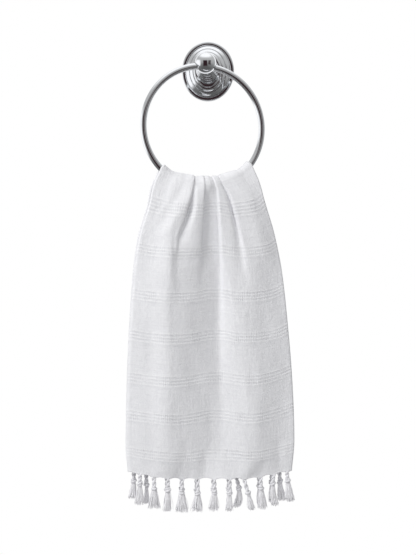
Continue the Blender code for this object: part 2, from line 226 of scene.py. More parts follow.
SELVAGE_CORD = (0.984, 0.012, 0.22)  # width share, its half width, height in millimetres
HEM_CORD = (1.6, 1.3, 0.35)  # height above the edge, half width, height in millimetres
HEM_ARCH = 3.2
HEM_ARCH_FADE = 6.0

# Tassels. share is the place along the hem. lean, bow, length, width and stray, the reach of the
# loose threads past the brush, are in millimetres. knot is the share of the length at which the
# knot sits, and tilt how far its turns are cocked, as a share of KNOT_TILT.
Tassel = namedtuple("Tassel", "share lean bow length width knot tilt stray")
FRONT_OUTER_TASSELS = (
    Tassel(0.048, -1.0, 0.0, 39.0, 12.5, 0.30, 0.5, 1.0),
    Tassel(0.130, 0.5, 0.5, 40.0, 17.0, 0.36, -0.4, 1.0),
    Tassel(0.215, -0.5, 0.5, 41.0, 11.0, 0.33, 0.2, 5.0),
    Tassel(0.312, 0.0, -0.5, 42.0, 17.5, 0.38, -0.3, 2.0),
    Tassel(0.407, -0.5, 0.5, 41.5, 15.5, 0.40, 0.3, 2.0),
    Tassel(0.510, -1.0, 0.5, 40.5, 14.0, 0.38, -0.2, 1.5),
    Tassel(0.608, -1.0, 0.0, 40.0, 10.5, 0.40, 0.4, 1.0),
    Tassel(0.700, 9.5, 2.0, 39.0, 9.5, 0.42, 0.1, 1.0),
    Tassel(0.805, 2.5, 0.5, 40.0, 12.5, 0.30, -0.2, 1.5),
    Tassel(0.888, 2.5, -1.5, 39.5, 10.5, 0.25, 0.3, 1.0),
    Tassel(0.972, 4.5, 0.5, 38.0, 12.5, 0.28, 0.2, 1.5),
)
FRONT_INNER_TASSELS = (
    Tassel(0.012, -2.5, 0.5, 36.0, 11.5, 0.35, 0.2, 1.0),
    Tassel(0.085, 0.0, 0.5, 38.5, 8.0, 0.35, -0.3, 1.0),
    Tassel(0.212, 0.5, 0.0, 38.0, 9.0, 0.35, 0.3, 1.0),
    Tassel(0.310, 0.0, 0.5, 38.0, 9.0, 0.38, -0.2, 1.0),
    Tassel(0.405, 0.5, 0.0, 38.0, 9.0, 0.38, 0.2, 1.0),
    Tassel(0.508, 0.0, 0.5, 38.0, 9.0, 0.38, 0.3, 1.0),
    Tassel(0.607, 0.5, 0.0, 38.0, 8.5, 0.38, -0.3, 0.5),
    Tassel(0.655, -0.5, 4.0, 39.0, 11.5, 0.34, 0.3, 1.0),
    Tassel(0.804, 1.0, 0.5, 38.0, 9.0, 0.33, 0.2, 1.0),
    Tassel(0.887, 0.5, 0.0, 38.0, 9.0, 0.30, -0.3, 1.0),
    Tassel(0.940, 3.0, 0.0, 38.0, 12.5, 0.33, 0.7, 1.0),
)
REAR_COUNT = 11
TASSEL_LEAN_POWER = 1.5
TASSEL_FLATNESS = 0.6  # depth of the brush for a width of 1
ROUND_DEPTH = 0.85  # depth of stem and knot for a width of 1
YARN_SIDES = 8
STEM_OVERLAP = 1.6  # how far the stem's two yarns reach up into the hem
STEM_RINGS = 15
STEM_TURNS = 1.1
STEM_END = 0.04  # share of the length between the stem's end and the knot's middle
YARN_RADIUS = 1.5
YARN_REACH = 1.25  # from the stem's middle to each yarn's middle
YARN_SPLAY = 0.9  # more reach at the hem
YARN_TAPER = 0.6  # share of its radius that a yarn loses at the hem
KNOT_RINGS = 26
KNOT_TURNS = 1.9
KNOT_HALF_HEIGHT = 2.7
KNOT_TILT = 2.0
KNOT_REACH = 1.2
KNOT_REACH_SWELL = 1.4
KNOT_RADIUS = 0.7
KNOT_RADIUS_SWELL = 0.95
STRANDS = 44
STRAYS = 6
STRAND_RINGS = 9
STRAND_SIDES = 6
STRAND_RADIUS = 0.62
STRAY_RADIUS = 0.25
BRUSH_START = 0.03  # share of the length between the knot's middle and the brush's top
RAGGED_END = 0.10  # most that a strand is short, as a share of the length
ROUNDED_END = 0.02
KINK = 0.55
GOLDEN_ANGLE = 2.39996


# --- meshes from arrays ---------------------------------------------------------------------


def add_piece(name, points, faces, material, nodes, uv=None, marks=None):
    """A mesh on the root body that stands for its CAD nodes.

    points are in metres, faces is a list of index arrays, each of faces with equally many
    corners, uv is a pair per point, and marks are named values per point.
    """
    corners = np.concatenate([block.ravel() for block in faces]).astype(np.int32)
    sizes = np.concatenate([np.full(len(block), block.shape[1]) for block in faces])
    starts = np.concatenate([[0], np.cumsum(sizes)[:-1]]).astype(np.int32)
    mesh = bpy.data.meshes.new(name)
    mesh.vertices.add(len(points))
    mesh.vertices.foreach_set("co", points.astype(np.float32).ravel())
    mesh.loops.add(len(corners))
    mesh.loops.foreach_set("vertex_index", corners)
    mesh.polygons.add(len(starts))
    mesh.polygons.foreach_set("loop_start", starts)
    if uv is not None:
        layer = mesh.uv_layers.new(name="UVMap")
        layer.uv.foreach_set("vector", uv[corners].astype(np.float32).ravel())
    for mark, values in (marks or {}).items():
        attribute = mesh.attributes.new(mark, "FLOAT", "POINT")
        attribute.data.foreach_set("value", values.astype(np.float32).ravel())
    mesh.update(calc_edges=True)
    mesh.validate()
    mesh.shade_smooth()
    mesh.materials.append(material)
    piece = bpy.data.objects.new(name, mesh)
    bpy.context.scene.collection.objects.link(piece)
    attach(piece, "root")
    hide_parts(*nodes)
    return piece


def unit(vectors):
    """The vectors at length 1."""
    return vectors / np.maximum(np.linalg.norm(vectors, axis=-1, keepdims=True), 1e-12)


def ring_frame(turn):
    """Unit vectors along the ring's plane to the right, and out of it to the front."""
    along = np.array((math.cos(turn), math.sin(turn), 0.0))
    outward = np.array((math.sin(turn), -math.cos(turn), 0.0))
    return along, outward


def round_faces(rings, around, closed):
    """Quads between rings of points, each ring going anticlockwise about the way ahead.

    Where the surface isn't closed along its length, its two ends are capped.
    """
    index = np.arange(rings * around).reshape(rings, around)
    ahead = np.roll(index, -1, axis=0) if closed else index[1:]
    here = index if closed else index[:-1]
    quads = np.stack([here, np.roll(here, -1, 1), np.roll(ahead, -1, 1), ahead], axis=-1)
    faces = [quads.reshape(-1, 4)]
    if not closed:
        faces.append(np.stack([index[0, ::-1], index[-1]]))
    return faces


def tubes(paths, radii, sides, side_way):
    """Round tubes along paths: centre + radius (cos a . side + sin a . up) for a once round.

    paths is tubes by rings by xyz, side is square to the path and nearest to side_way, and up is
    square to both. It returns the points, the faces and a UV of way round and way along.
    """
    ahead = unit(np.gradient(paths, axis=1))
    side = unit(side_way - (side_way * ahead).sum(-1, keepdims=True) * ahead)
    up = np.cross(ahead, side)
    angles = 2.0 * math.pi * np.arange(sides) / sides
    wheel = np.cos(angles)[:, None] * side[:, :, None] + np.sin(angles)[:, None] * up[:, :, None]
    points = paths[:, :, None] + radii[:, :, None, None] * wheel
    count, rings = paths.shape[:2]
    one = round_faces(rings, sides, False)
    shift = (np.arange(count) * rings * sides)[:, None, None]
    faces = [(block + shift).reshape(-1, block.shape[1]) for block in one]
    step = np.linalg.norm(np.diff(paths, axis=1, prepend=paths[:, :1]), axis=-1)
    length = np.cumsum(step, axis=1)
    way_round = np.broadcast_to(angles / (2.0 * math.pi), (count, rings, sides))
    way_along = np.broadcast_to(length[:, :, None], (count, rings, sides))
    return points.reshape(-1, 3), faces, np.stack([way_round, way_along], -1).reshape(-1, 2)


def join(parts):
    """Several (points, faces, uv) as one."""
    points, faces, uvs, start = [], [], [], 0
    for part_points, part_faces, uv in parts:
        points.append(part_points)
        faces += [block + start for block in part_faces]
        uvs.append(uv)
        start += len(part_points)
    return np.concatenate(points), faces, np.concatenate(uvs)


def through(knots, values, places):
    """Curves through values, a row per knot, that are level at each crest and hollow.

    Between two knots it is the cubic with the values there and, as slopes, the harmonic mean of
    the slopes on both sides of each knot, or 0 where those differ in sign.
    """
    knots = np.asarray(knots, float)
    values = np.asarray(values, float)
    spans = np.diff(knots)[:, None]
    slopes = np.diff(values, axis=0) / spans
    before, after = slopes[:-1], slopes[1:]
    same_way = before * after > 0.0
    total = np.where(same_way, before + after, 1.0)
    inner = np.where(same_way, 2.0 * before * after / total, 0.0)
    tangents = np.vstack([slopes[:1], inner, slopes[-1:]])
    cell = np.clip(np.searchsorted(knots, places, side="right") - 1, 0, len(spans) - 1)
    span = spans[cell]
    share = (np.asarray(places, float)[:, None] - knots[cell][:, None]) / span
    rest = 1.0 - share
    return (
        values[cell] * rest**2 * (1.0 + 2.0 * share)
        + values[cell + 1] * share**2 * (3.0 - 2.0 * share)
        + tangents[cell] * span * share * rest**2
        - tangents[cell + 1] * span * share**2 * rest
    )


# --- the towel ------------------------------------------------------------------------------


def fold_values(field, drops, shares):
    """One field of the sections over drops (rows) and width shares (columns), in millimetres."""
    by_section = [getattr(section, field) for section in SECTIONS]
    by_row = through([section.drop for section in SECTIONS], by_section, drops)
    return through([line.share for line in FOLD_LINES], by_row.T, shares).T


def rib_places(groups):
    """The ribs' distances below the ring."""
    return np.concatenate(
        [group.centre + RIB_PITCH * (np.arange(group.ribs) - (group.ribs - 1) / 2.0) for group in groups]
    )


def side_rows(drop, groups, rib_rows):
    """Distances below the ring of one side's rows: even ones, close ones at each rib and at the hem."""
    close = np.concatenate(
        [(rib_places(groups)[:, None] + np.array(rib_rows)).ravel(), drop - np.array(HEM_ROWS)]
    )
    even = np.linspace(0.0, drop, round(drop / ROW_PITCH) + 1)
    apart = np.abs(even[:, None] - close).min(axis=1)
    return np.sort(np.concatenate([even[apart > ROW_CLEARANCE * ROW_PITCH], close]))


def towel_rows():
    """Rows from the front hem over the ring to the rear hem: distance below the ring, bend."""
    front = side_rows(FRONT_DROP, FRONT_RIBS, FRONT_RIB_ROWS)
    rear = side_rows(REAR_DROP, REAR_RIBS, REAR_RIB_ROWS)
    over = np.linspace(1.0, -1.0, RING_ROWS + 1)[1:-1]
    return np.concatenate(
        [
            np.stack([front[::-1], np.ones(len(front))], axis=1),
            np.stack([np.zeros(len(over)), over], axis=1),
            np.stack([rear, -np.ones(len(rear))], axis=1),
        ]
    )


def towel_columns():
    """Columns from the outer selvage round the lengthwise fold to the inner selvage.

    A column is (share of the width, layer, bulge): layer is -1 on the outer layer, 1 on the inner
    one and runs between them round the fold, where bulge is above 0.
    """
    shares = [line.share for line in FOLD_LINES]
    last = len(shares) - 1
    fine = np.interp(np.arange(COLUMNS_PER_FOLD * last + 1) / COLUMNS_PER_FOLD, range(last + 1), shares)
    apart = np.abs(fine[:, None] - np.array(SELVAGE_COLUMNS)).min(axis=1)
    fine = np.sort(np.concatenate([fine[apart > COLUMN_CLEARANCE], SELVAGE_COLUMNS]))
    coarse = np.interp(np.linspace(0.0, last, INNER_COLUMNS), range(last + 1), shares)
    outer = np.stack([fine[::-1], -np.ones(len(fine)), np.zeros(len(fine))], axis=1)
    angles = np.linspace(-math.pi / 2.0, math.pi / 2.0, FOLD_COLUMNS + 1)[1:-1]
    fold = np.stack([np.zeros(len(angles)), np.sin(angles), np.cos(angles)], axis=1)
    inner = np.stack([coarse, np.ones(len(coarse)), np.zeros(len(coarse))], axis=1)
    return np.concatenate([outer, fold, inner])


def crease_heights(drops, shares):
    """The soft creases: each is height . exp(-(distance to its line / width)^2)."""
    flat = np.stack(np.broadcast_arrays(shares[None, :] * HALF_WIDTH, drops[:, None] * FRONT_DROP), -1)
    heights = np.zeros(flat.shape[:2])
    for crease in CREASES:
        start = np.array((crease.from_share * HALF_WIDTH, crease.from_drop * FRONT_DROP))
        line = np.array((crease.to_share * HALF_WIDTH, crease.to_drop * FRONT_DROP)) - start
        way = np.clip(((flat - start) @ line) / (line @ line), 0.0, 1.0)
        distance = np.linalg.norm(flat - start - way[..., None] * line, axis=-1)
        heights += crease.height * np.exp(-((distance / crease.width) ** 2))
    return heights


def hem_arches(shares, tassels):
    """0 at each tassel and 1 midway between two: 4 t (1 - t) of the way t between them."""
    places = [tassel.share for tassel in tassels]
    way = np.interp(shares, places, range(len(places))) % 1.0
    return 4.0 * way * (1.0 - way)


def towel_surface(rows, columns):
    """Middle surface of the towel, rows by columns by xyz, in millimetres.

    On the front and the rear it is ring centre + across . along + out . outward, at a height of
    the ring's lowest line - distance + rise. Over the ring, out turns from forward through up to
    rearward. The inner layer is the outer one's parallel at the layers' gap.
    """
    distance, bend = rows.T
    share, layer, bulge = columns.T
    front = bend > 0.0
    side_drop = np.where(front, FRONT_DROP, REAR_DROP)
    drop = distance / side_drop
    section = distance / FRONT_DROP
    gap = (GAP_AT_RING + (GAP_AT_HEM - GAP_AT_RING) * drop**GAP_POWER)[:, None]

    inset = (1.0 - bulge) * (1.0 - share) / 2.0
    step = SELVAGE_STEP * share**SELVAGE_STEP_POWER * (layer > 0.0)
    across = fold_values("across", section, share) + gap * inset - step
    softening = np.where(front, 1.0, 1.0 - REAR_FOLD_SOFTENING * drop)
    out = fold_values("out", section, share) * softening[:, None]
    settle = np.clip(drop / WAVE_SETTLE_DROP, 0.0, 1.0)[:, None]
    for wave in WAVES:
        angle = 2.0 * math.pi * (wave.across * share[None, :] + wave.along * drop[:, None]) + wave.phase
        out += wave.height * np.sin(angle) * settle
    out += crease_heights(drop, share) * (front[:, None] & (layer < 0.0)[None, :])
    outer, inner = layer == -1.0, layer == 1.0
    apart = across[:, inner, None] - across[:, None, outer]
    reach = np.sqrt(np.clip(gap[:, :, None] ** 2 - apart**2, 0.0, None))
    parallel = np.where(np.abs(apart) < gap[:, :, None], out[:, None, outer] - reach, np.inf).min(axis=2)
    out -= gap / 2.0 * (1.0 + layer)
    out[:, inner] = np.minimum(out[:, inner], parallel)

    at_ring = fold_values("across", np.zeros(1), share)[0] + GAP_AT_RING * inset - step
    sine = at_ring / RING_RADIUS
    cosine = np.sqrt(1.0 - sine**2)
    fade = np.exp(-section / RING_RISE_FADE)[:, None]
    rise = fold_values("rise", section, share) * (1.0 - fade) + RING_RADIUS * (1.0 - cosine) * fade
    for side, outer_row, inner_row in (
        (front, FRONT_OUTER_TASSELS, FRONT_INNER_TASSELS),
        (~front, rear_tassels(0.0), rear_tassels(1.0)),
    ):
        arch = np.where(layer < 0.5, hem_arches(share, outer_row), hem_arches(share, inner_row))
        near_hem = np.exp(-(side_drop - distance) / HEM_ARCH_FADE) * side
        rise += HEM_ARCH * near_hem[:, None] * arch

    over = np.cos(bend * math.pi / 2.0)[:, None] * out
    forward = np.sin(bend * math.pi / 2.0)[:, None] * out
    across -= over * sine
    height = RING_CENTRE[2] - RING_RADIUS - distance[:, None] + rise + over * cosine
    turn = (RING_TURN - UNTWIST * drop)[:, None]
    x = RING_CENTRE[0] + across * np.cos(turn) + forward * np.sin(turn)
    y = RING_CENTRE[1] + across * np.sin(turn) - forward * np.cos(turn)
    return np.stack([x, y, height], axis=-1)


def bump(distance, half_width):
    """A round ridge: cos^2 of the distance, down to 0 at the half width."""
    return np.cos(np.clip(np.abs(distance) / half_width, 0.0, 1.0) * math.pi / 2.0) ** 2


def build_towel(material):
    """The towel: its middle surface moved both ways along its normal, and closed round the edge.

    Half the thickness grows at the woven ribs, the hems and the selvages.
    """
    rows, columns = towel_rows(), towel_columns()
    middle = towel_surface(rows, columns)
    normal = unit(np.cross(np.gradient(middle, axis=1), np.gradient(middle, axis=0)))
    distance, bend = rows.T
    share, layer, _ = columns.T
    ribs, grooves_and_painted_shadow, between = np.zeros((3, len(rows)))
    for side, groups in ((bend == 1.0, FRONT_RIBS), (bend == -1.0, REAR_RIBS)):
        below = distance[:, None] - rib_places(groups)
        ribs = np.where(side, bump(below, RIB_HALF_WIDTH).max(axis=1), ribs)
        # Below each rib: a slight dip in the cloth, and the mark for the rib's painted shadow.
        grooves_and_painted_shadow = np.where(side, bump(below - GROOVE_PLACE, GROOVE_HALF_WIDTH).max(axis=1), grooves_and_painted_shadow)
        for group in groups:
            half_group = (group.ribs - 1) * RIB_PITCH / 2.0
            inside = np.clip(half_group + OPENWORK_EDGE - np.abs(distance - group.centre), 0.0, 1.0)
            between = np.where(side, np.maximum(between, inside), between)
    side_drop = np.where(bend > 0.0, FRONT_DROP, REAR_DROP)
    hem = HEM_CORD[2] * bump(side_drop - distance - HEM_CORD[0], HEM_CORD[1])
    selvage = SELVAGE_CORD[2] * bump(share - SELVAGE_CORD[0], SELVAGE_CORD[1])
    half = HALF_THICKNESS + (RIB_HEIGHT * ribs - GROOVE_DEPTH * grooves_and_painted_shadow + hem)[:, None] + selvage
    points = np.concatenate([middle + normal * half[..., None], middle - normal * half[..., None]])

    index = np.arange(middle.shape[0] * middle.shape[1]).reshape(middle.shape[:2])
    face = np.stack([index[:-1, :-1], index[:-1, 1:], index[1:, 1:], index[1:, :-1]], axis=-1)
    face = face.reshape(-1, 4)
    edge = np.concatenate([index[0], index[1:, -1], index[-1, -2::-1], index[-2:0:-1, 0]])
    after = np.roll(edge, -1)
    rim = np.stack([after, edge, edge + index.size, after + index.size], axis=-1)
    faces = [np.concatenate([face, face[:, ::-1] + index.size, rim])]

    along = np.where(bend > 0.0, distance, -distance - PATTERN_OVER_RING)
    along = along + PATTERN_OVER_RING / 2.0 * (bend - 1.0) * (np.abs(bend) < 1.0)
    uv = np.stack(np.broadcast_arrays(share * HALF_WIDTH * -layer, along[:, None]), axis=-1) * MM
    grid = np.ones(middle.shape[:2])
    # The rib mark follows the ribs' own shape and also paints a highlight on them. The mark below each rib
    # paints the rib's shadow, and openwork marks the open ladder between the ribs.
    marks = {
        "rib": np.tile((grid * ribs[:, None]).ravel(), 2),
        "groove": np.tile((grid * grooves_and_painted_shadow[:, None]).ravel(), 2),
        "openwork": np.tile((grid * between[:, None]).ravel(), 2),
    }
    return add_piece(
        "towel_cloth",
        points.reshape(-1, 3) * MM,
        faces,
        material,
        ["towel"],
        np.tile(uv.reshape(-1, 2), (2, 1)),
        marks,
    )


# --- the tassels ----------------------------------------------------------------------------


def rear_tassels(phase):
    """Evenly spaced tassels with a slight sway that runs along the row."""
    return [
        Tassel(
            share=(index + 0.5) / REAR_COUNT,
            lean=1.5 * math.sin(2.4 * index + phase),
            bow=0.75 * math.cos(1.7 * index + phase),
            length=40.0,
            width=10.5,
            knot=0.36 + 0.04 * math.sin(1.3 * index + phase),
            tilt=0.4 * math.cos(2.1 * index + phase),
            stray=1.2,
        )
        for index in range(REAR_COUNT)
    ]


def tassel_path(tassel, root, along, shares):
    """Root + (lean . s^1.5 + bow . sin(pi s)) to the right - length . s down, for each share s."""
    sway = tassel.lean * np.clip(shares, 0.0, None) ** TASSEL_LEAN_POWER
    sway += tassel.bow * np.sin(math.pi * shares)
    return root + along * sway[..., None] - UP * (shares * tassel.length)[..., None]


def stem_yarns(tassel, root, along, outward, phase):
    """Two plied yarns: centre line + reach (cos a . along + sin a . outward), about once round.

    The reach, and a thinner yarn, open out at the hem.
    """
    shares = np.linspace(-STEM_OVERLAP / tassel.length, tassel.knot - STEM_END, STEM_RINGS)
    centre = tassel_path(tassel, root, along, shares)
    way = np.linspace(0.0, 1.0, len(shares))
    angle = phase + 2.0 * math.pi * STEM_TURNS * way + np.array((0.0, math.pi))[:, None]
    reach = YARN_REACH + YARN_SPLAY * (1.0 - way) ** 4
    paths = centre + (reach * np.cos(angle))[..., None] * along
    paths += (ROUND_DEPTH * reach * np.sin(angle))[..., None] * outward
    radii = YARN_RADIUS * (1.0 - YARN_TAPER * (1.0 - way) ** 6) * np.ones((2, 1))
    return tubes(paths, radii, YARN_SIDES, outward)


def knot_coil(tassel, root, along, outward, phase):
    """The knot: a yarn wound round the stem, reach (cos a . along + sin a . outward), turning down."""
    way = np.linspace(0.0, 1.0, KNOT_RINGS)
    centre = tassel_path(tassel, root, along, np.full(len(way), tassel.knot))
    angle = phase + 2.0 * math.pi * KNOT_TURNS * way
    swell = np.sin(math.pi * way) ** 0.4
    reach = KNOT_REACH + KNOT_REACH_SWELL * swell
    fall = KNOT_HALF_HEIGHT - 2.0 * KNOT_HALF_HEIGHT * way + tassel.tilt * KNOT_TILT * np.cos(angle)
    path = centre + (reach * np.cos(angle))[:, None] * along
    path += (ROUND_DEPTH * reach * np.sin(angle))[:, None] * outward + fall[:, None] * UP
    radii = KNOT_RADIUS + KNOT_RADIUS_SWELL * swell
    radial = np.cos(angle)[:, None] * along + np.sin(angle)[:, None] * outward
    return tubes(path[None], radii[None], YARN_SIDES, radial[None])


def brush_strands(tassel, root, along, outward, rng):
    """Loose ends below the knot, spread over an oval by the golden angle and flaring as they fall.

    A strand's place is reach . radius . flare (cos a . along + flatness . sin a . outward), plus a
    slight wave that grows towards its end. The last few are thin strays that reach further.
    """
    count = STRANDS + STRAYS
    number = np.arange(count)
    stray = number >= STRANDS
    angle = GOLDEN_ANGLE * number + rng.uniform(-0.3, 0.3, count)
    radius = np.sqrt((number + 0.5) / STRANDS)
    radius = np.where(stray, 1.0, radius)
    way = np.linspace(0.0, 1.0, STRAND_RINGS)
    ends = 1.0 - rng.uniform(0.0, RAGGED_END, count) - ROUNDED_END * radius**2
    start = tassel.knot + BRUSH_START
    shares = start + (ends - start)[:, None] * way
    flare = 0.38 + 0.42 * np.sin(way * math.pi / 2.0) + 0.20 * way**2
    further = np.where(stray, rng.uniform(0.2, 1.0, count) * tassel.stray, 0.0)
    reach = tassel.width / 2.0 - STRAND_RADIUS + further
    spread = radius[:, None] * reach[:, None] * flare
    kink = np.sin(rng.uniform(0.0, 6.3, (count, 1)) + way * rng.uniform(4.0, 9.0, (count, 1)))
    kink = KINK * kink * way
    centre = tassel_path(tassel, root, along, shares)
    across = spread * np.cos(angle)[:, None] + kink
    depth = spread * np.sin(angle)[:, None] * TASSEL_FLATNESS + kink * TASSEL_FLATNESS
    paths = centre + across[..., None] * along + depth[..., None] * outward
    size = np.where(stray, STRAY_RADIUS, STRAND_RADIUS * rng.uniform(0.85, 1.2, count))
    radii = size[:, None] * np.interp(way, (0.0, 0.85, 1.0), (1.0, 1.0, 0.45))
    return tubes(paths, radii, STRAND_SIDES, outward)


def build_tassels(material):
    """Four rows of tassels: plied stem, wound knot and brush, one piece for each tassel."""
    pieces = []
    along, outward = ring_frame(RING_TURN - UNTWIST)
    for row, (row_name, bend, drop, layer, tassels) in enumerate(
        (
            ("front_outer", 1.0, FRONT_DROP, -1.0, FRONT_OUTER_TASSELS),
            ("front_inner", 1.0, FRONT_DROP, 1.0, FRONT_INNER_TASSELS),
            ("rear_outer", -1.0, REAR_DROP, -1.0, rear_tassels(0.0)),
            ("rear_inner", -1.0, REAR_DROP, 1.0, rear_tassels(1.0)),
        )
    ):
        columns = towel_columns()
        hem = towel_surface(np.array(((drop, bend), (drop, bend))), columns)[0]
        of_layer = columns[:, 1] == layer
        order = np.argsort(columns[of_layer, 0])
        places, edge = columns[of_layer, 0][order], hem[of_layer][order]
        for number, tassel in enumerate(tassels, start=1):
            rng = np.random.default_rng(100 * row + number)
            root = np.array([np.interp(tassel.share, places, edge[:, axis]) for axis in range(3)])
            phase = rng.uniform(0.0, 2.0 * math.pi)
            points, faces, uv = join(
                [
                    stem_yarns(tassel, root, along, outward, phase),
                    knot_coil(tassel, root, along, outward, phase + 1.0),
                    brush_strands(tassel, root, along, outward, rng),
                ]
            )
            name = f"tassel_{row_name}_{number:02d}"
            brush_points = (STRANDS + STRAYS) * STRAND_RINGS * STRAND_SIDES
            # The brush mark is 1 on the loose strands. The yarn material paints these lighter than the stem
            # and knot, as painted light.
            loose = np.arange(len(points)) >= len(points) - brush_points
            pieces.append(
                add_piece(
                    f"{name}_yarn",
                    points * MM,
                    faces,
                    material,
                    [name],
                    uv * (1.0, MM),
                    {"loose": loose},
                )
            )
    return pieces


# --- the chrome fixture ---------------------------------------------------------------------

PLATE_HALF_WIDTH = 35.2
PLATE_HALF_HEIGHT = 39.9
PLATE_PROFILE = (  # inset from the outline, distance from the wall
    (0.0, 0.0),
    (0.0, 2.8),
    (0.4, 4.1),
    (1.6, 4.9),
    (3.6, 5.1),
    (5.0, 4.8),
    (5.6, 4.2),
    (6.2, 4.5),
    (8.4, 6.2),
    (10.6, 7.6),
    (11.2, 7.3),
    (11.8, 7.6),
    (13.6, 9.2),
    (15.4, 10.2),
    (16.4, 10.4),
    (17.0, 11.4),
    (18.2, 12.1),
    (19.8, 12.4),
    (35.2, 12.4),
)
POST_PROFILE = (  # distance from the wall, radius
    (12.7, 0.0),
    (12.7, 14.2),
    (13.6, 15.2),
    (15.4, 15.4),
    (16.6, 14.6),
    (17.2, 13.4),
    (18.0, 13.0),
    (19.4, 13.8),
    (20.6, 13.2),
    (21.6, 11.4),
    (22.6, 11.0),
    (24.2, 11.8),
    (25.4, 11.0),
    (27.0, 8.8),
    (29.6, 7.7),
    (33.0, 7.5),
    (37.2, 8.3),
    (37.2, 0.0),
)
KNOB_RADIUS = 14.0
KNOB_NECK_RADIUS = 8.4
KNOB_NECK_DISTANCE = 37.5
KNOB_NECK_STEP = 0.08  # angle from the neck's edge to the ball's first ring
KNOB_RINGS = 40
BORE_GAP = 0.5
AXIS_DOT = 0.02  # radius left where a profile reaches its axis
SEGMENTS = 128
PROFILE_STEPS = 4
TORUS_SIDES = 32
RING_AROUND = 256
BORE_AROUND = 192
SHARP_ANGLE = math.radians(60.0)


def turned(profile, steps, width=0.0, height=0.0):
    """Rings about Y: (radius + width) cos a . X + (radius + height) sin a . Z - distance . Y.

    profile is (radius, distance), taken through a smooth curve in steps between its points. It
    ends on the axis, where the ring has shrunk to a dot that the cap closes.
    """
    profile = np.asarray(profile, float)
    places = np.linspace(0.0, len(profile) - 1.0, steps * (len(profile) - 1) + 1)
    radius, distance = through(np.arange(len(profile)), profile, places).T
    angles = -2.0 * math.pi * np.arange(SEGMENTS) / SEGMENTS
    across = np.clip(radius + width, AXIS_DOT, None)[:, None] * np.cos(angles)
    up = np.clip(radius + height, AXIS_DOT, None)[:, None] * np.sin(angles)
    deep = np.broadcast_to(-distance[:, None], across.shape)
    points = np.stack([across, deep, up], axis=-1).reshape(-1, 3)
    return points, round_faces(len(places), SEGMENTS, False)


def ring_torus(tube_radius, around):
    """The ring: centre + (R + r cos b) (sin a . along - cos a . Z) + r sin b . outward."""
    along, outward = ring_frame(RING_TURN)
    a = (2.0 * math.pi * np.arange(around) / around)[:, None, None]
    b = (2.0 * math.pi * np.arange(TORUS_SIDES) / TORUS_SIDES)[None, :, None]
    radial = np.sin(a) * along - np.cos(a) * UP
    points = RING_CENTRE + (RING_RADIUS + tube_radius * np.cos(b)) * radial
    points = points + tube_radius * np.sin(b) * outward
    return points.reshape(-1, 3), round_faces(around, TORUS_SIDES, True)


def outward_faces(points, faces):
    """The faces, all turned round if the closed surface they make is inside out."""
    volume = 0.0
    for block in faces:
        for corner in range(1, block.shape[1] - 1):
            triangle = points[block[:, [0, corner, corner + 1]]]
            volume += np.linalg.det(triangle).sum()
    return faces if volume > 0.0 else [block[:, ::-1] for block in faces]


def add_chrome(name, surface, material, nodes):
    """A chrome piece from a closed surface of points, in millimetres, and faces."""
    points, faces = surface
    return add_piece(name, points * MM, outward_faces(points, faces), material, nodes)


def build_chrome(material):
    """Wall plate, post, knob and ring."""
    plate = [(-inset, distance) for inset, distance in PLATE_PROFILE]
    surface = turned(plate, PROFILE_STEPS, PLATE_HALF_WIDTH, PLATE_HALF_HEIGHT)
    oval = add_chrome("plate_oval", surface, material, ["wall_plate"])
    oval.data.set_sharp_from_angle(angle=SHARP_ANGLE)
    post = [(radius, distance) for distance, radius in POST_PROFILE]
    column = add_chrome("post_turned", turned(post, PROFILE_STEPS), material, ["post"])
    column.data.set_sharp_from_angle(angle=SHARP_ANGLE)
    first = math.asin(KNOB_NECK_RADIUS / KNOB_RADIUS) + KNOB_NECK_STEP
    angles = np.linspace(first, math.pi, KNOB_RINGS)
    knob = [(0.0, KNOB_NECK_DISTANCE), (KNOB_NECK_RADIUS, KNOB_NECK_DISTANCE)]
    knob += list(zip(KNOB_RADIUS * np.sin(angles), RING_DISTANCE - KNOB_RADIUS * np.cos(angles)))
    ball = add_chrome("knob_ball", turned(knob, 1), material, ["knob"])
    bore = add_chrome("knob_bore", ring_torus(RING_TUBE_RADIUS + BORE_GAP, BORE_AROUND), material, [])
    cut = ball.modifiers.new("ring_bore", "BOOLEAN")
    cut.object = bore
    graph = bpy.context.evaluated_depsgraph_get()
    bored = bpy.data.meshes.new_from_object(ball.evaluated_get(graph))
    ball.modifiers.clear()
    ball.data = bored
    bored.set_sharp_from_angle(angle=SHARP_ANGLE)
    bpy.data.objects.remove(bore)
    add_chrome("ring_bar", ring_torus(RING_TUBE_RADIUS, RING_AROUND), material, ["ring"])


# --- materials ------------------------------------------------------------------------------


class Value:
    """A socket in a node tree. Arithmetic on it adds Math nodes."""

    def __init__(self, nodes, socket):
        self.nodes = nodes
        self.socket = socket

    def math(self, operation, *values):
        return self.nodes.math(operation, *values)

    def __add__(self, other):
        return self.math("ADD", self, other)

    def __radd__(self, other):
        return self.math("ADD", other, self)

    def __sub__(self, other):
        return self.math("SUBTRACT", self, other)

    def __rsub__(self, other):
        return self.math("SUBTRACT", other, self)

    def __mul__(self, other):
        return self.math("MULTIPLY", self, other)

    def __rmul__(self, other):
        return self.math("MULTIPLY", other, self)

    def __pow__(self, other):
        return self.math("POWER", self, other)

    def sine(self):
        return self.math("SINE", self)

    def low(self, other):
        return self.math("MINIMUM", self, other)

    def high(self, other):
        return self.math("MAXIMUM", self, other)


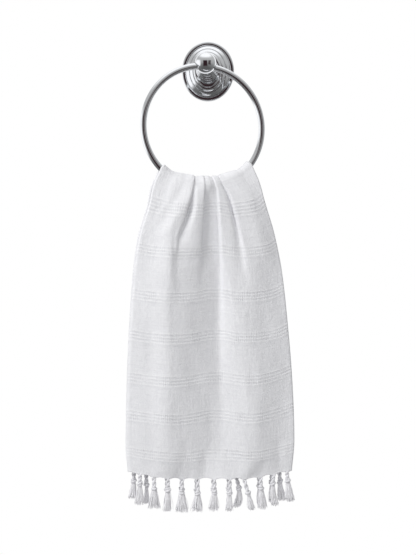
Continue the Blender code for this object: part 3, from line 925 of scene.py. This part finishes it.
class Nodes:
    """A node tree, and the one way in which nodes are added to it."""

    def __init__(self, tree):
        self.tree = tree

    def add(self, kind, settings=None, inputs=None, output=0):
        """A node of a kind: its settings first, then its sockets' values or links."""
        node = self.tree.nodes.new(kind)
        for name, setting in (settings or {}).items():
            if name == "stops":
                self.set_stops(node.color_ramp, setting)
            else:
                setattr(node, name, setting)
        for name, value in (inputs or {}).items():
            if isinstance(value, Value):
                self.tree.links.new(value.socket, node.inputs[name])
            else:
                node.inputs[name].default_value = value
        return Value(self, node.outputs[output]) if len(node.outputs) else node

    @staticmethod
    def set_stops(ramp, stops):
        """The stops of a colour ramp: pairs of place and grey."""
        while len(ramp.elements) < len(stops):
            ramp.elements.new(0.5)
        for element, (place, grey) in zip(ramp.elements, stops):
            element.position = place
            element.color = (grey, grey, grey, 1.0)

    def mix(self, factor, first, second):
        """From the first colour to the second as the factor goes from 0 to 1."""
        return self.add("ShaderNodeMix", {"data_type": "RGBA"}, {0: factor, 6: first, 7: second}, 2)

    def math(self, operation, *values):
        return self.add("ShaderNodeMath", {"operation": operation}, dict(enumerate(values)))

    def attribute(self, name):
        """A mesh mark's value."""
        return self.add("ShaderNodeAttribute", {"attribute_name": name}, None, 2)

    def uv(self):
        return self.add("ShaderNodeUVMap", {"uv_map": "UVMap"})

    def object_place(self):
        return self.add("ShaderNodeTexCoord", None, None, 3)

    def axis(self, vector, number):
        return self.add("ShaderNodeSeparateXYZ", None, {0: vector}, number)

    def noise(self, vector, scale, detail=2.0, roughness=0.5):
        inputs = {"Vector": vector, "Scale": scale, "Detail": detail, "Roughness": roughness}
        return self.add("ShaderNodeTexNoise", None, inputs)

    def stretched(self, vector, scale):
        return self.add("ShaderNodeMapping", None, {"Vector": vector, "Scale": scale})

    def bump(self, strength, distance, height):
        inputs = {"Strength": strength, "Distance": distance, "Height": height}
        return self.add("ShaderNodeBump", None, inputs)

    def surface(self, inputs):
        """A Principled shader with these inputs, and the material's output."""
        shader = self.add("ShaderNodeBsdfPrincipled", None, inputs)
        self.add("ShaderNodeOutputMaterial", None, {"Surface": shader})


def new_material(name, colour):
    """A material with only its output node, and its node tree."""
    material = bpy.data.materials.new(name)
    material.use_nodes = True
    material.diffuse_color = (*colour, 1.0)
    material.node_tree.nodes.clear()
    return material, Nodes(material.node_tree)


def rgba(red, green, blue):
    return (red, green, blue, 1.0)


CLOTH_LIGHT = (0.924, 0.925, 0.944)
CLOTH_DEEP = (0.80, 0.802, 0.832)
# One and the same yarn: the brush's colours are painted lighter and the stem and knot's plied yarn painted
# darker, as painted light and shade.
YARN_LIGHT = (0.97, 0.965, 0.985)
YARN_DEEP = (0.93, 0.925, 0.95)
PLIED_YARN_PAINTED_DARKER = (0.84, 0.835, 0.865)
CHROME_COLOUR = (0.80, 0.815, 0.83)
# Pitches of the patterns, in metres.
WEAVE_PITCH = 0.0009
LADDER_PITCH = 0.0026
PLY_PITCH = 0.0022
PLIES = 3.0


def cloth_material():
    """Soft bleached cotton: plain weave with slubs both ways, ribs, and openwork between the ribs."""
    material, nodes = new_material("towel_cotton", CLOTH_LIGHT)
    cloth = nodes.uv()
    rib, groove, openwork = (nodes.attribute(name) for name in ("rib", "groove", "openwork"))
    across, along = nodes.axis(cloth, 0), nodes.axis(cloth, 1)

    weft_slubs = nodes.noise(nodes.stretched(cloth, (60.0, 520.0, 1.0)), 1.0, 3.0, 0.6)
    warp_slubs = nodes.noise(nodes.stretched(cloth, (480.0, 45.0, 1.0)), 1.0, 3.0, 0.6)
    crinkle = nodes.noise(nodes.stretched(cloth, (150.0, 90.0, 1.0)), 1.0, 3.0, 0.6)
    weave = (across * (2.0 * math.pi / WEAVE_PITCH)).sine() * (along * (2.0 * math.pi / WEAVE_PITCH)).sine()
    ladder = ((across * (2.0 * math.pi / LADDER_PITCH)).sine() * 0.5 + 0.5) ** 3.0
    faint = nodes.noise(nodes.stretched(cloth, (60.0, 25.0, 1.0)), 1.0, 2.0, 0.5)
    gaps = openwork * (1.0 - rib) * ladder * (faint * 2.4 - 0.75).high(0.0).low(1.0)

    shade = 0.55 + (weft_slubs - 0.5) * 0.9 + (warp_slubs - 0.5) * 0.7 + (crinkle - 0.5) * 0.4
    # Painted light: the rib mark lightens the cloth along each rib as a painted highlight of its lit top,
    # and the mark just below each rib darkens it as the rib's painted shadow.
    shade = (shade + rib * 0.45 - groove * 0.2 - gaps * 0.5).high(0.0).low(1.0)
    colour = nodes.mix(shade, rgba(*CLOTH_DEEP), rgba(*CLOTH_LIGHT))
    relief = weft_slubs * 0.5 + warp_slubs * 0.45 + crinkle * 0.9 + weave * 0.06 - gaps * 0.5
    normal = nodes.bump(1.0, 0.0009, relief)
    nodes.surface(
        {
            "Base Color": colour,
            "Roughness": 0.88 - 0.08 * weft_slubs,
            "Normal": normal,
            "Specular IOR Level": 0.25,
            "Sheen Weight": 0.25,
            "Sheen Roughness": 0.5,
        }
    )
    return material


def yarn_material():
    """Twisted cotton yarn: the UV's way round and way along make the ply's slanting lines.

    The brush is painted lighter than the plied stem and knot above it: painted light against the shade
    between its strands, and painted shade where the knots catch the lamp.
    """
    material, nodes = new_material("tassel_cotton", YARN_LIGHT)
    yarn = nodes.uv()
    around, along = nodes.axis(yarn, 0), nodes.axis(yarn, 1)
    twist = (around * (2.0 * math.pi * PLIES) + along * (2.0 * math.pi / PLY_PITCH)).sine() * 0.5 + 0.5
    fuzz = nodes.noise(nodes.object_place(), 900.0, 3.0, 0.6)
    loose = nodes.attribute("loose")
    shade = (0.25 + twist * 0.45 + (fuzz - 0.5) * 0.9).high(0.0).low(1.0)
    # Painted light and shade: the brush gets the lighter colours, and the plied stem and knot the darker
    # ones.
    deep = nodes.mix(loose, rgba(*PLIED_YARN_PAINTED_DARKER), rgba(*YARN_DEEP))
    light = nodes.mix(loose, rgba(*CLOTH_LIGHT), rgba(*YARN_LIGHT))
    colour = nodes.mix(shade * (0.4 + 0.6 * loose), deep, light)
    relief = twist + fuzz * 0.6
    normal = nodes.bump(0.35, 0.0003, relief)
    nodes.surface(
        {
            "Base Color": colour,
            "Roughness": 0.94 - 0.08 * fuzz,
            "Normal": normal,
            "Specular IOR Level": 0.2,
            "Sheen Weight": 0.8,
            "Sheen Roughness": 0.4,
        }
    )
    return material


def chrome_material():
    """Polished chrome, with faint smudges and a barely uneven plating."""
    material, nodes = new_material("chrome", CHROME_COLOUR)
    place = nodes.object_place()
    smudge = nodes.noise(place, 60.0, 3.0, 0.6)
    fine = nodes.noise(place, 500.0, 2.0, 0.5)
    colour = nodes.mix(smudge, rgba(0.76, 0.775, 0.79), rgba(0.84, 0.855, 0.87))
    normal = nodes.bump(0.04, 0.0003, fine)
    roughness = 0.05 + 0.06 * smudge
    nodes.surface({"Base Color": colour, "Metallic": 1.0, "Roughness": roughness, "Normal": normal})
    return material


def floor_material():
    """Plain pale floor with a hardly visible grain."""
    material, nodes = new_material("pale_floor", (0.9, 0.9, 0.9))
    place = nodes.object_place()
    grain = nodes.noise(place, 8.0, 3.0, 0.5)
    colour = nodes.mix(grain, rgba(0.86, 0.86, 0.86), rgba(0.90, 0.90, 0.90))
    nodes.surface({"Base Color": colour, "Roughness": 0.8})
    return material


# --- camera, light and floor ----------------------------------------------------------------


def add_camera():
    """A long lens in front of the towel, level and a little to the right."""
    camera = bpy.data.objects.new("camera", bpy.data.cameras.new("camera"))
    camera.data.lens = 62.8
    camera.data.sensor_width = 36.0
    camera.data.dof.use_dof = False
    camera.location = (0.079, -1.30, -0.2767)
    camera.rotation_euler = (math.radians(90.0), 0.0, math.radians(3.48))
    bpy.context.scene.collection.objects.link(camera)
    bpy.context.scene.camera = camera


def add_area_light(name, place, target, size, power):
    """A square soft light aimed at a point."""
    light = bpy.data.lights.new(name, "AREA")
    light.size = size
    light.energy = power
    lamp = bpy.data.objects.new(name, light)
    lamp.location = place
    way = np.array(place) - np.array(target)
    flat = math.hypot(way[0], way[1])
    lamp.rotation_euler = (math.atan2(flat, way[2]), 0.0, math.atan2(way[0], -way[1]))
    lamp.visible_glossy = False
    bpy.context.scene.collection.objects.link(lamp)


def add_world():
    """White backdrop, and a softer grey room that lights the object and shows in the chrome.

    The room that lights the cloth is brighter behind it. The one that the chrome mirrors is grey,
    with a tall soft box on the left, another overhead, white behind the object but for a grey
    middle, and two dark upright shapes in front.
    """
    world = bpy.data.worlds.new("studio")
    bpy.context.scene.world = world
    world.use_nodes = True
    world.node_tree.nodes.clear()
    nodes = Nodes(world.node_tree)
    seen = nodes.add("ShaderNodeLightPath", None, None, 0)
    mirrored = nodes.add("ShaderNodeLightPath", None, None, 3)
    way = nodes.add("ShaderNodeTexCoord", None, None, 0)
    right = nodes.axis(way, 0)
    front = nodes.axis(way, 1) * -1.0
    height = nodes.axis(way, 2)

    def above(value, start, end):
        """0 up to the start and 1 from the end."""
        return ((value - start) * (1.0 / (end - start))).high(0.0).low(1.0)

    def by_height(*stops):
        """A grey for each height, from straight down at 0 to straight up at 1."""
        return nodes.add("ShaderNodeValToRGB", {"stops": stops}, {0: height * 0.5 + 0.5})

    soft = by_height((0.0, 0.16), (0.5, 0.24), (1.0, 0.50))
    level = nodes.math("ABSOLUTE", height)
    left_box = above(right * -1.0, 0.72, 0.90) * (1.0 - above(level, 0.34, 0.52))
    top_box = above(height, 0.70, 0.90)
    back = front * -1.0
    behind = above(back, 0.45, 0.8) * (1.0 - 0.7 * above(back, 0.90, 0.96))
    white = left_box.high(top_box).high(behind)
    stand = 1.0 - above(nodes.math("ABSOLUTE", right), 0.30, 0.44)
    stand = stand * (1.0 - above(height, 0.26, 0.42)) * above(height, -0.75, -0.55) * above(front, 0.0, 0.3)
    door = 1.0 - above(nodes.math("ABSOLUTE", right - 0.69), 0.14, 0.20)
    door = door * (1.0 - above(level, 0.30, 0.42)) * above(front, 0.0, 0.2)
    grey = by_height((0.1, 0.12), (0.35, 0.24), (0.5, 0.40), (0.9, 0.60))
    room = nodes.mix(white, grey, rgba(1.2, 1.2, 1.22))
    room = nodes.mix(stand.high(door * 0.85), room, rgba(0.035, 0.018, 0.022))
    around = nodes.mix(above(back, -0.1, 0.6), soft, rgba(0.66, 0.66, 0.68))
    lit = nodes.mix(mirrored, around, room)
    backdrop = nodes.mix(seen, lit, rgba(1.0, 1.0, 1.0))
    light = nodes.add("ShaderNodeBackground", None, {"Color": backdrop, "Strength": 1.0})
    nodes.add("ShaderNodeOutputWorld", None, {"Surface": light})


def add_floor():
    """A pale floor well below the towel."""
    mesh = bpy.data.meshes.new("floor")
    near, far, side, level = -2.6, 1.2, 2.0, -1.2
    corners = [(-side, near, level), (side, near, level), (side, far, level), (-side, far, level)]
    mesh.from_pydata(corners, [], [(0, 1, 2, 3)])
    mesh.materials.append(floor_material())
    floor = bpy.data.objects.new("floor", mesh)
    bpy.context.scene.collection.objects.link(floor)
    floor.visible_glossy = False


def main():
    add_camera()
    add_world()
    middle = (0.0, -0.06, -0.33)
    add_area_light("key", (-1.0, -1.05, 0.75), middle, 0.8, 21.3)
    add_area_light("fill", (0.35, -0.7, 0.4), (0.0, -0.06, -0.2), 0.5, 1.4)
    add_area_light("low_fill", (0.15, -0.75, -0.95), (0.0, -0.06, -0.52), 0.5, 0.4)
    add_floor()
    bpy.context.scene.view_settings.view_transform = "Standard"

    build_chrome(chrome_material())
    tassels = build_tassels(yarn_material())
    towel = build_towel(cloth_material())


main()
